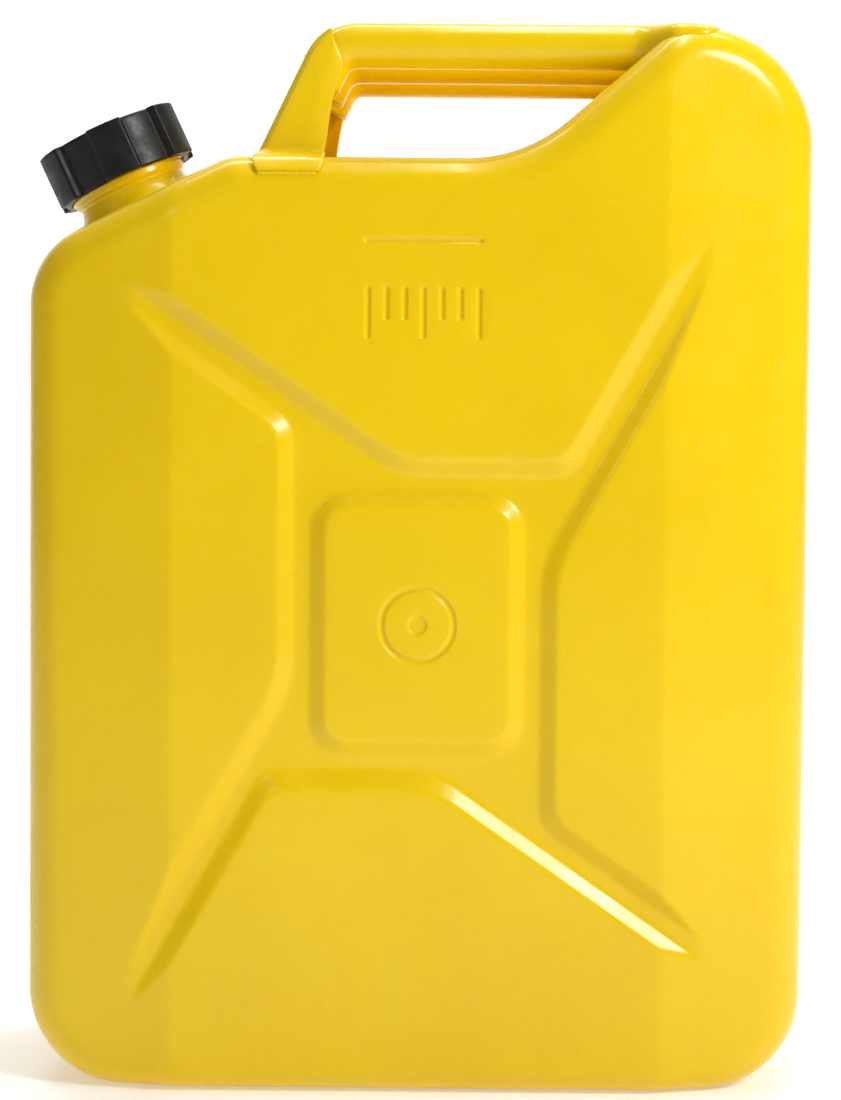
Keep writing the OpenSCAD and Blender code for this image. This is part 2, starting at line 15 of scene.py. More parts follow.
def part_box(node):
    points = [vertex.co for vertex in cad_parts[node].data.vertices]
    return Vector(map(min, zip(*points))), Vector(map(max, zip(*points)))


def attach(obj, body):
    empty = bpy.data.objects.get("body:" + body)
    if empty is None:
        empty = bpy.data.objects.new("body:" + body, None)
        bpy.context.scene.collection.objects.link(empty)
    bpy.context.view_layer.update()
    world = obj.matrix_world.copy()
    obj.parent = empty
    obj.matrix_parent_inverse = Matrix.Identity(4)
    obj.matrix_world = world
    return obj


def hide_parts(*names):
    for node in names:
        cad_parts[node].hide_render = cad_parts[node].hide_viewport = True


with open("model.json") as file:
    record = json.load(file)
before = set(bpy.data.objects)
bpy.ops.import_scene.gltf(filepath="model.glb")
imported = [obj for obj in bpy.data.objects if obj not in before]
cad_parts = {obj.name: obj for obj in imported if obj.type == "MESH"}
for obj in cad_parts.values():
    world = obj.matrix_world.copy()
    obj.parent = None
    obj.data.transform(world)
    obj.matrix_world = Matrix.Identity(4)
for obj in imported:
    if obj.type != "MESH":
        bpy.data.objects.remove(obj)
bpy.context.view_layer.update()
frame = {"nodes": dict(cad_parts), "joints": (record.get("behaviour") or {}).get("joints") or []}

MM = 0.001


def mm_box(node):
    """The CAD node's lowest and highest corner, in millimetres."""
    low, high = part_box(node)
    return np.array(low) / MM, np.array(high) / MM


# ---- Sizes, in millimetres ---------------------------------------------------

shell_low, shell_high = mm_box("front_half_shell")
bar_low, bar_high = mm_box("handle_bar_middle")
front_bar_low, front_bar_high = mm_box("handle_bar_front")
HALF_W = shell_high[0]
HALF_D = -shell_low[1]
HUMP_Z = shell_high[2]
TOTAL_H = bar_high[2]
BAR_R = bar_high[1]
BAR_PITCH = -(front_bar_low[1] + front_bar_high[1]) / 2

SHEET = 1.0
BOTTOM_CORNER_R = 41
HUMP_CORNER_R = 50
HUMP_INNER_R = 30
HUMP_SLOPE = math.radians(41)
RECESS_RIGHT = 45
RECESS_LEFT = 83
RECESS_R = 68
RECESS_Z = TOTAL_H - 60.5
SHOULDER_CORNER_R = 24
SHOULDER_SLOPE = math.radians(25)
SHOULDER_R = 36
EDGE_R = 16
FLAT_X = 107
BEVEL_RISE = math.tan(math.radians(14))
SEAM_DEPTH = 8
SEAM_FLOOR_Y = 6
SEAM_TOP_Y = 13.5
SEAM_END_R = 29
SEAM_END_EASE = 14

CHANNEL_DEPTH = 4.5
CHANNEL_FLOOR = 7
CHANNEL_WALL = 6.8
CHANNELS = (  # angle in degrees and distance from the middle of the badge
    (145.2, -44.7),
    (-34.8, -44.7),
    (60.5, -29.8),
    (240.5, -29.8),
)
BADGE_W, BADGE_H, BADGE_R = 80, 102, 11
BADGE_FOOT_SPREAD = 6
PANEL_BLEND = 7
FOLD_BLEND = 1.4
BADGE_Z = 206.5
MARK_DEPTH = 0.9
MARK_EDGE = 1.3
FILL_LINE_Z = 372.5

BEND_R = 25
LEG_SLOPE = math.radians(64.2)
FOOT_X = -73
FLANGE_FOOT_W = 30
BRACKET_T = 2
FOLD_R = 5.0
FLANGE_Y = BAR_PITCH + BAR_R + 0.3 + BRACKET_T
BEND_X = (
    FOOT_X
    + (TOTAL_H - RECESS_Z) / math.tan(LEG_SLOPE)
    + BEND_R * math.tan(LEG_SLOPE / 2)
)
BEND_Z = TOTAL_H - BEND_R

turn = next(j for j in frame["joints"] if j["name"] == "cap_turn")
NECK_FOOT = np.array(turn["pos_m"]) / MM
NECK_AXIS = np.array(turn["axis"], float)
NECK_BORE_R = 23
NECK_HOLE_R = 27
NECK_HOLE_DEPTH = 40
WAIST_R = 25.2
FLARE_R = 29.4
RING_R = 31.8
RING_T = 2
THREAD_R = 26.8
THREAD_DEPTH = 0.95
NECK_H = 35
PITCH = 3
CAP_Z = 16.8
CAP_H = 24.5
CAP_R = 34.25
GRIP_R = 30.65
CAP_BORE_R = 28.1
CAP_TOP_T = 3
LOBES = 6
DISC_R = 12.5
DISC_SEAT = 1
DISC_H = 3.2

# ---- Mesh helpers ------------------------------------------------------------


def add_mesh(name, points, faces, material, body="root", nodes=()):
    """A smooth shaded piece from points in millimetres, riding on a CAD body."""
    mesh = bpy.data.meshes.new(name)
    mesh.from_pydata((np.asarray(points, float) * MM).tolist(), [], faces)
    mesh.validate()
    mesh.update()
    mesh.shade_smooth()
    mesh.materials.append(material)
    piece = bpy.data.objects.new(name, mesh)
    bpy.context.scene.collection.objects.link(piece)
    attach(piece, body)
    if nodes:
        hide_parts(*nodes)
    return piece


def grid_faces(rows, columns, wrap_columns=False, wrap_rows=False, start=0):
    """Quads over a grid of points stored row after row."""
    faces = []
    for i in range(rows if wrap_rows else rows - 1):
        a, b = start + i * columns, start + (i + 1) % rows * columns
        for j in range(columns if wrap_columns else columns - 1):
            k = (j + 1) % columns
            faces.append((a + j, a + k, b + k, b + j))
    return faces


def smooth_step(t):
    """Rises smoothly from 0 to 1 as t does."""
    t = np.clip(t, 0.0, 1.0)
    return t * t * (3 - 2 * t)


def smooth_min(a, b, k):
    """The lesser of a and b, blended where they are within k of each other."""
    h = np.clip(0.5 + 0.5 * (b - a) / k, 0, 1)
    return b * (1 - h) + a * h - k * h * (1 - h)


def smooth_max(a, b, k):
    return -smooth_min(-a, -b, k)


def rounded_box(x, z, width, height, radius):
    """Distance from the edge of a rounded rectangle, positive outside it."""
    qx = np.abs(x) - (width / 2 - radius)
    qz = np.abs(z) - (height / 2 - radius)
    outside = np.hypot(np.maximum(qx, 0), np.maximum(qz, 0))
    return outside + np.minimum(np.maximum(qx, qz), 0) - radius


def capsule(x, z, ax, az, bx, bz, radius):
    """Distance from the edge of a bar with round ends, positive outside it."""
    dx, dz = bx - ax, bz - az
    t = np.clip(((x - ax) * dx + (z - az) * dz) / (dx * dx + dz * dz), 0, 1)
    return np.hypot(x - ax - t * dx, z - az - t * dz) - radius


# ---- Outline of the body -----------------------------------------------------


def body_outline(arc_step=math.radians(3), line_step=4.0):
    """Points of the side outline and their outward directions, anticlockwise."""
    shoulder_z = RECESS_Z - (HALF_W - RECESS_LEFT) * math.tan(SHOULDER_SLOPE)
    hump_x = RECESS_RIGHT + (HUMP_Z - RECESS_Z) / math.tan(HUMP_SLOPE)
    corners = [
        (-HALF_W, 0, BOTTOM_CORNER_R),
        (HALF_W, 0, BOTTOM_CORNER_R),
        (HALF_W, HUMP_Z, HUMP_CORNER_R),
        (hump_x, HUMP_Z, HUMP_INNER_R),
        (RECESS_RIGHT, RECESS_Z, RECESS_R),
        (-RECESS_LEFT, RECESS_Z, SHOULDER_CORNER_R),
        (-HALF_W, shoulder_z, SHOULDER_R),
    ]
    points, normals = [], []
    for i, (x, z, radius) in enumerate(corners):
        here = np.array([x, z], float)
        before = here - np.array(corners[i - 1][:2], float)
        after = np.array(corners[(i + 1) % len(corners)][:2], float) - here
        u1, u2 = before / np.hypot(*before), after / np.hypot(*after)
        bend = math.atan2(u1[0] * u2[1] - u1[1] * u2[0], u1 @ u2)
        side = math.copysign(1, bend)
        out = np.array([u1[1], -u1[0]])
        centre = here - u1 * radius * math.tan(abs(bend) / 2) - out * side * radius
        start = centre + out * side * radius
        if points:
            gap = start - points[-1]
            steps = max(1, math.ceil(np.hypot(*gap) / line_step))
            for k in range(1, steps):
                points.append(points[-1] + gap / steps)
                normals.append(out)
        steps = math.ceil(abs(bend) / arc_step)
        for k in range(steps + 1):
            a = bend * k / steps
            n = np.array(
                [
                    out[0] * math.cos(a) - out[1] * math.sin(a),
                    out[0] * math.sin(a) + out[1] * math.cos(a),
                ]
            )
            points.append(centre + n * side * radius)
            normals.append(n)
    gap = points[0] - points[-1]
    steps = math.ceil(np.hypot(*gap) / line_step)
    for k in range(1, steps):
        points.append(points[-1] + gap / steps)
        normals.append(normals[0])
    return np.array(points), np.array(normals)


OUTLINE, OUTWARD = body_outline()


def seam_share(points):
    """How much of the seam's recess is there: none where the neck stands."""
    away = np.hypot(points[:, 0] - NECK_FOOT[0], points[:, 1] - NECK_FOOT[2])
    return smooth_step((away - SEAM_END_R) / SEAM_END_EASE)


# ---- Face of a half shell ----------------------------------------------------


def bevelled_depth(x):
    """Distance of the unpressed face from the seam plane."""
    over = np.abs(x) - FLAT_X
    crease = 1.2
    return HALF_D - BEVEL_RISE * 0.5 * (over + np.sqrt(over * over + crease * crease))


def panel_reach(x, dz):
    """How far each point lies past the foot of the nearest raised panel, inwards."""
    foot_x = BADGE_W / 2 + CHANNEL_WALL + CHANNEL_FLOOR
    foot_z = BADGE_H / 2 + CHANNEL_WALL + CHANNEL_FLOOR
    left, right = [], []
    for degrees, offset in CHANNELS:
        a = math.radians(degrees)
        across = dz * math.cos(a) - x * math.sin(a) - offset
        left.append(across - CHANNEL_FLOOR / 2)
        right.append(-across - CHANNEL_FLOOR / 2)
    upper_left, lower_right, upper_right, lower_left = range(len(CHANNELS))
    panels = (
        (dz - foot_z, right[upper_left], left[upper_right]),
        (x - foot_x, right[upper_right], left[lower_right]),
        (-dz - foot_z, right[lower_right], left[lower_left]),
        (-x - foot_x, left[upper_left], right[lower_left]),
    )
    reach = np.full(np.shape(x), -1e3)
    for edge, side, other in panels:
        inside = smooth_min(smooth_min(edge, side, PANEL_BLEND), other, PANEL_BLEND)
        reach = np.maximum(reach, inside)
    return reach


def face_depth(x, z, marked):
    """Distance of the pressed face from the seam plane."""
    slope = CHANNEL_DEPTH / CHANNEL_WALL
    floor = HALF_D - CHANNEL_DEPTH
    dz = z - BADGE_Z
    foot = rounded_box(
        x,
        dz,
        BADGE_W + 2 * CHANNEL_WALL,
        BADGE_H + 2 * CHANNEL_WALL,
        BADGE_R + BADGE_FOOT_SPREAD,
    )
    reach = np.maximum(panel_reach(x, dz), -foot)
    cut = floor + smooth_max(reach, np.zeros_like(reach), FOLD_BLEND) * slope
    depth = smooth_min(bevelled_depth(x), cut, FOLD_BLEND * slope)
    if marked:
        depth = depth - MARK_DEPTH * smooth_step(0.5 - mark_distance(x, z) / MARK_EDGE)
    return depth


def mark_distance(x, z):
    """Distance from the engraved marks: fill line, level ticks, and a ring with a dot."""
    line_left, line_right, line_r = -23, 26, 0.9
    tick_pitch, tick_r, ticks_x, ticks_below = 8, 1, 1.5, 31
    tall_half, short_half = 10, 6
    ring_r, ring_half, dot_r = 15.7, 1.1, 4
    nearest = capsule(x, z, line_left, FILL_LINE_Z, line_right, FILL_LINE_Z, line_r)
    for i in range(-3, 4):
        tall = i % 3 == 0
        half = tall_half if tall else short_half
        at = ticks_x + i * tick_pitch
        middle = FILL_LINE_Z - ticks_below + (tall_half - half)
        tick = capsule(x, z, at, middle - half, at, middle + half, tick_r)
        nearest = np.minimum(nearest, tick)
    away = np.hypot(x, z - BADGE_Z)
    ring = np.abs(away - ring_r) - ring_half
    return np.minimum(nearest, np.minimum(ring, away - dot_r))


def sheet_waviness(x, z, depth, phase):
    """The slight unevenness of thin pressed sheet."""
    return np.array(
        [
            0.10 * noise.noise(Vector((a / 55, b / 70, c / 60 + phase)))
            + 0.03 * noise.noise(Vector((a / 18, b / 21, c / 20 + phase)))
            for a, b, c in zip(x, z, depth)
        ]
    )


def inside_outline(x, z, loop):
    """Which points lie inside a closed loop."""
    inside = np.zeros(len(x), bool)
    ax, az = loop[:, 0], loop[:, 1]
    bx, bz = np.roll(ax, -1), np.roll(az, -1)
    for k in range(len(loop)):
        crosses = (az[k] > z) != (bz[k] > z)
        if crosses.any():
            at = ax[k] + (z - az[k]) / (bz[k] - az[k] + 1e-12) * (bx[k] - ax[k])
            inside ^= crosses & (x < at)
    return inside


def distance_to_loop(x, z, loop):
    """Distance of each point from the nearest point of a closed loop."""
    best = np.full(len(x), 1e9)
    for k in range(len(loop)):
        best = np.minimum(best, np.hypot(x - loop[k, 0], z - loop[k, 1]))
    return best


def face_points(loop, marked):
    """Points inside the loop: far apart on flat sheet, close together where it bends."""
    picked = []
    taken = None
    for spacing, keep in ((0.45, 0.004), (1.0, 0.012), (5.0, 0)):
        if spacing < 1 and not marked:
            continue
        x = np.arange(-HALF_W, HALF_W, spacing)
        z = np.arange(0, HUMP_Z, spacing) + spacing * 0.37
        if spacing < 1:
            x = x[np.abs(x) < 34]
            z = z[(z > BADGE_Z - 20) & (z < FILL_LINE_Z + 6)]
        gx, gz = np.meshgrid(x, z)
        if keep:
            if spacing < 1:
                near = np.abs(mark_distance(gx, gz)) < 1.2
            else:
                d = face_depth(gx, gz, False)
                bend = np.zeros_like(d)
                bend[1:-1, 1:-1] = np.maximum.reduce(
                    [
                        np.abs(d[1:-1, 2:] + d[1:-1, :-2] - 2 * d[1:-1, 1:-1]),
                        np.abs(d[2:, 1:-1] + d[:-2, 1:-1] - 2 * d[1:-1, 1:-1]),
                        np.abs(d[2:, 2:] + d[:-2, :-2] - 2 * d[1:-1, 1:-1]) / 2,
                    ]
                )
                near = bend > keep
            gx, gz = gx[near], gz[near]
        gx, gz = gx.ravel(), gz.ravel()
        good = inside_outline(gx, gz, loop)
        gx, gz = gx[good], gz[good]
        good = distance_to_loop(gx, gz, loop) > min(spacing, 2.0) * 0.7
        gx, gz = gx[good], gz[good]
        if taken is not None:
            cells = set(map(tuple, np.floor(taken / 1.3).astype(int)))
            free = [
                not any(
                    (int(a // 1.3) + i, int(b // 1.3) + j) in cells
                    for i in (-1, 0, 1)
                    for j in (-1, 0, 1)
                )
                for a, b in zip(gx, gz)
            ]
            if spacing > 1 or marked:
                gx, gz = gx[free], gz[free]
        found = np.column_stack([gx, gz])
        picked.append(found)
        taken = found if taken is None else np.vstack([taken, found])
    return np.vstack(picked)


def half_shell(name, node, side, marked):
    """One pressed half: seam flange, side wall, rounded edge and pressed face."""
    share = seam_share(OUTLINE)
    rows = []
    for t in np.linspace(0, 1, 10):
        y = SEAM_FLOOR_Y + (SEAM_TOP_Y - SEAM_FLOOR_Y) * t
        rows.append((share * SEAM_DEPTH * (0.5 + 0.5 * math.cos(math.pi * t)), y))
    rows = [(share * SEAM_DEPTH, 0.0), (share * SEAM_DEPTH, 3.0)] + rows
    wall_end = bevelled_depth(OUTLINE[:, 0]) - EDGE_R
    for t in np.linspace(0, 1, 7)[1:-1]:
        rows.append((0 * share, SEAM_TOP_Y + (wall_end - SEAM_TOP_Y) * t))
    for a in np.radians(np.linspace(0, 90, 13)):
        inset = EDGE_R * (1 - math.cos(a))
        x = OUTLINE[:, 0] - OUTWARD[:, 0] * inset
        rows.append((inset + 0 * share, bevelled_depth(x) - EDGE_R * (1 - math.sin(a))))
    points = []
    for inset, depth in rows:
        p = OUTLINE - OUTWARD * np.asarray(inset).reshape(-1, 1)
        points.append(np.column_stack([p[:, 0], np.broadcast_to(depth, len(p)), p[:, 1]]))
    n = len(OUTLINE)
    faces = grid_faces(len(rows), n, wrap_columns=True)
    loop = points[-1][:, [0, 2]]
    extra = face_points(loop, marked)
    flat = [Vector(p) for p in np.vstack([loop, extra])]
    ring = [(i, (i + 1) % n) for i in range(n)]
    found, _, triangles, *_ = geometry.delaunay_2d_cdt(flat, ring, [], 1, 1e-4)
    if len(found) != len(flat):
        raise RuntimeError("the face's points moved while they were joined")
    base = (len(rows) - 1) * n
    faces += [tuple(base + k for k in t) for t in triangles]
    inner = face_depth(extra[:, 0], extra[:, 1], marked)
    points = np.vstack(points + [np.column_stack([extra[:, 0], inner, extra[:, 1]])])
    wave = sheet_waviness(points[:, 0], points[:, 2], points[:, 1], side * 5.0)
    away = np.minimum(points[:, 1] - SEAM_TOP_Y, 20) / 20
    points[:, 1] -= np.abs(wave) * np.clip(away, 0, 1)
    off_axis = np.cross(points - NECK_FOOT, np.broadcast_to(NECK_AXIS, points.shape))
    cut = np.linalg.norm(off_axis, axis=1) < NECK_HOLE_R
    cut &= points[:, 2] > NECK_FOOT[2] - NECK_HOLE_DEPTH
    faces = [f for f in faces if not all(cut[k] for k in f)]
    points[:, 1] *= side
    if side > 0:
        faces = [f[::-1] for f in faces]
    piece = add_mesh(name, points, faces, enamel, nodes=[node])
    clean_shell(piece)
    thick = piece.modifiers.new("sheet", "SOLIDIFY")
    thick.thickness = SHEET * MM
    thick.offset = -1
    return piece


def face_outwards(work, middle):
    """Turns every face of an open sheet the same way, away from the middle."""
    bmesh.ops.recalc_face_normals(work, faces=work.faces)
    score = sum(
        (face.calc_center_median() - middle).dot(face.normal) * face.calc_area()
        for face in work.faces
    )
    if score < 0:
        bmesh.ops.reverse_faces(work, faces=work.faces)


def clean_shell(piece):
    """Drops a half shell's loose points and turns its faces out of the can."""
    work = bmesh.new()
    work.from_mesh(piece.data)
    loose = [v for v in work.verts if not v.link_faces]
    bmesh.ops.delete(work, geom=loose, context="VERTS")
    face_outwards(work, Vector((0, 0, 0.23)))
    work.to_mesh(piece.data)
    work.free()
    piece.data.shade_smooth()


def fix_outside(piece):
    """Joins a closed piece's doubled points and turns its faces outwards."""
    work = bmesh.new()
    work.from_mesh(piece.data)
    bmesh.ops.remove_doubles(work, verts=work.verts, dist=0.002 * MM)
    bmesh.ops.recalc_face_normals(work, faces=work.faces)
    work.to_mesh(piece.data)
    work.free()
    piece.data.shade_smooth()


# ---- Materials ---------------------------------------------------------------


def node_material(name, base, roughness, **sockets):
    """A Principled material with its plain values on the shader's own sockets."""
    material = bpy.data.materials.new(name)
    material.use_nodes = True
    shader = material.node_tree.nodes["Principled BSDF"]
    shader.inputs["Base Color"].default_value = (*base, 1)
    shader.inputs["Roughness"].default_value = roughness
    for socket, value in sockets.items():
        shader.inputs[socket.replace("_", " ")].default_value = value
    return material, material.node_tree, shader


def texture_noise(tree, scale, detail=2.0, rough=0.5):
    """A noise value in the piece's own coordinates."""
    coords = tree.nodes.new("ShaderNodeTexCoord")
    noise_node = tree.nodes.new("ShaderNodeTexNoise")
    noise_node.inputs["Scale"].default_value = scale
    noise_node.inputs["Detail"].default_value = detail
    noise_node.inputs["Roughness"].default_value = rough
    tree.links.new(coords.outputs["Object"], noise_node.inputs["Vector"])
    return noise_node.outputs["Fac"]


def spread(tree, value, low, high):
    """Maps the middle of a noise value's range to low and high."""
    node = tree.nodes.new("ShaderNodeMapRange")
    node.inputs["From Min"].default_value = 0.35
    node.inputs["From Max"].default_value = 0.65
    node.inputs["To Min"].default_value = low
    node.inputs["To Max"].default_value = high
    tree.links.new(value, node.inputs["Value"])
    return node.outputs["Result"]


def colour_mix(tree, factor, first, second):
    """A colour between two shades."""
    node = tree.nodes.new("ShaderNodeMix")
    node.data_type = "RGBA"
    node.inputs[6].default_value = (*first, 1)
    node.inputs[7].default_value = (*second, 1)
    tree.links.new(factor, node.inputs[0])
    return node.outputs[2]


def bump(tree, height, distance, below=None):
    """A surface normal roughened by a height in metres, over the one below it."""
    node = tree.nodes.new("ShaderNodeBump")
    node.inputs["Distance"].default_value = distance
    node.inputs["Strength"].default_value = 1.0
    tree.links.new(height, node.inputs["Height"])
    if below is not None:
        tree.links.new(below, node.inputs["Normal"])
    return node.outputs["Normal"]


def make_enamel():
    """Yellow stoved enamel: gloss with a soft orange peel and slight shade drift."""
    material, tree, shader = node_material(
        "yellow_enamel",
        (0.86, 0.58, 0.0),
        0.25,
        Specular_IOR_Level=0.3,
        Coat_Weight=0.15,
        Coat_Roughness=0.08,
    )
    shade = colour_mix(
        tree,
        spread(tree, texture_noise(tree, 9, 3), 0, 1),
        (0.88, 0.60, 0.0),
        (0.83, 0.555, 0.0),
    )
    tree.links.new(shade, shader.inputs["Base Color"])
    tree.links.new(
        spread(tree, texture_noise(tree, 60, 4), 0.20, 0.32), shader.inputs["Roughness"]
    )
    peel = bump(tree, texture_noise(tree, 420, 2), 0.00006)
    drift = bump(tree, texture_noise(tree, 45, 1), 0.0003, below=peel)
    tree.links.new(drift, shader.inputs["Normal"])
    return material


def make_black_plastic():
    """Moulded black plastic with a fine satin grain and faint rubbed patches."""
    material, tree, shader = node_material(
        "black_plastic", (0.006, 0.006, 0.006), 0.42, Specular_IOR_Level=0.3
    )
    shade = colour_mix(
        tree,
        spread(tree, texture_noise(tree, 70, 4), 0, 1),
        (0.004, 0.004, 0.004),
        (0.009, 0.0085, 0.008),
    )
    tree.links.new(shade, shader.inputs["Base Color"])
    tree.links.new(
        spread(tree, texture_noise(tree, 120, 5, 0.6), 0.30, 0.50),
        shader.inputs["Roughness"],
    )
    grain = bump(tree, texture_noise(tree, 1800, 2), 0.00005)
    tree.links.new(grain, shader.inputs["Normal"])
    return material


def make_bare_steel():
    """Drawn steel tube with fine lengthwise marks."""
    material, tree, shader = node_material(
        "bare_steel", (0.48, 0.47, 0.45), 0.38, Metallic=1.0
    )
    shade = colour_mix(
        tree,
        spread(tree, texture_noise(tree, 140, 5), 0, 1),
        (0.52, 0.51, 0.49),
        (0.36, 0.34, 0.31),
    )
    tree.links.new(shade, shader.inputs["Base Color"])
    tree.links.new(
        spread(tree, texture_noise(tree, 300, 4), 0.30, 0.5), shader.inputs["Roughness"]
    )
    tree.links.new(
        bump(tree, texture_noise(tree, 900, 3), 0.00004), shader.inputs["Normal"]
    )
    return material


def make_liner_plastic():
    """Off-white polythene liner with a waxy sheen."""
    material, tree, shader = node_material(
        "white_plastic", (0.75, 0.74, 0.68), 0.45, Subsurface_Weight=0.15
    )
    shade = colour_mix(
        tree,
        spread(tree, texture_noise(tree, 110, 3), 0, 1),
        (0.78, 0.77, 0.71),
        (0.70, 0.68, 0.60),
    )
    tree.links.new(shade, shader.inputs["Base Color"])
    tree.links.new(
        bump(tree, texture_noise(tree, 500, 2), 0.00005), shader.inputs["Normal"]
    )
    return material


def make_rubber():
    """Matt black sealing rubber."""
    material, tree, shader = node_material("seal_rubber", (0.02, 0.02, 0.02), 0.75)
    shade = colour_mix(
        tree,
        spread(tree, texture_noise(tree, 220, 4), 0, 1),
        (0.018, 0.018, 0.018),
        (0.035, 0.033, 0.031),
    )
    tree.links.new(shade, shader.inputs["Base Color"])
    tree.links.new(
        spread(tree, texture_noise(tree, 400, 3), 0.62, 0.85),
        shader.inputs["Roughness"],
    )
    tree.links.new(
        bump(tree, texture_noise(tree, 1500, 3), 0.00006), shader.inputs["Normal"]
    )
    return material


def make_floor():
    """Matt white sweep that glows a little, as a lit studio backdrop does."""
    material, tree, shader = node_material(
        "pale_floor",
        (0.86, 0.86, 0.86),
        0.6,
        Emission_Color=(1, 1, 1, 1),
        Emission_Strength=0.3,
        Specular_IOR_Level=0.2,
    )
    tree.links.new(
        spread(tree, texture_noise(tree, 12, 4), 0.52, 0.62), shader.inputs["Roughness"]
    )
    return material


enamel = make_enamel()
black_plastic = make_black_plastic()

# ---- Half shells and seam ----------------------------------------------------

half_shell("shell_front", "front_half_shell", -1, True)
half_shell("shell_rear", "rear_half_shell", 1, False)


def outline_walk(step):
    """Points spaced evenly along the outline, with outward directions and arc length."""
    closed = np.vstack([OUTLINE, OUTLINE[:1]])
    normals = np.vstack([OUTWARD, OUTWARD[:1]])
    length = np.concatenate([[0], np.cumsum(np.hypot(*np.diff(closed, axis=0).T))])
    at = np.linspace(0, length[-1], int(length[-1] / step), endpoint=False)
    p = np.column_stack([np.interp(at, length, closed[:, k]) for k in (0, 1)])
    n = np.column_stack([np.interp(at, length, normals[:, k]) for k in (0, 1)])
    return p, n / np.hypot(*n.T).reshape(-1, 1), at


def seam_bead():
    """The welded bead on the floor of the seam, with the ripple of its weld pool."""
    p, n, at = outline_walk(1.0)
    share = seam_share(p)
    sunk = share * SEAM_DEPTH
    arc = np.radians(np.linspace(-10, 190, 9))
    ripple = 0.1 * np.abs(np.sin(at * math.pi / 3.1))
    points = []
    for k in range(len(p)):
        for a in arc:
            rise = -0.35 + (1.1 + ripple[k]) * max(0.0, math.sin(a)) + 0.2 * math.sin(a)
            q = p[k] - n[k] * (sunk[k] - rise)
            points.append((q[0], (1.9 + ripple[k]) * math.cos(a), q[1]))
    columns = len(arc)
    away = np.hypot(p[:, 0] - NECK_FOOT[0], p[:, 1] - NECK_FOOT[2]) > RING_R + 0.3
    faces = []
    for i in range(len(p)):
        j = (i + 1) % len(p)
        if away[i] and away[j]:
            for c in range(columns):
                d = (c + 1) % columns
                faces.append(
                    (i * columns + c, i * columns + d, j * columns + d, j * columns + c)
                )
    for i in range(len(p)):
        j, h = (i + 1) % len(p), i - 1
        if away[i] and not away[j]:
            faces.append(tuple(i * columns + c for c in range(columns)))
        if away[i] and not away[h]:
            faces.append(tuple(i * columns + c for c in reversed(range(columns))))
    used = sorted({k for f in faces for k in f})
    order = {k: i for i, k in enumerate(used)}
    faces = [tuple(order[k] for k in f) for f in faces]
    return add_mesh(
        "seam_bead", np.array(points)[used], faces, enamel, nodes=["seam_weld"]
    )


seam_bead()

# ---- Handle ------------------------------------------------------------------


def hump_height(x):
    """Height of the body's outline at x, from the recess to the hump."""
    top = OUTLINE[:, 1] > RECESS_Z - 1
    inside = top & (OUTLINE[:, 0] > -60) & (OUTLINE[:, 0] < 150)
    order = np.argsort(OUTLINE[inside, 0])
    return np.interp(x, OUTLINE[inside, 0][order], OUTLINE[inside, 1][order])


def hump_surface(x, y):
    """Height of the body's top surface, with its rounded front and rear edges."""
    top = hump_height(x)
    over = np.abs(y) - (bevelled_depth(np.asarray(x, float)) - EDGE_R)
    drop = EDGE_R - math.sqrt(max(0.0, EDGE_R**2 - max(0.0, min(over, EDGE_R)) ** 2))
    slope = min(1.0, abs(hump_height(x + 1) - hump_height(x - 1)) / 2)
    return top - drop * math.hypot(1, slope)


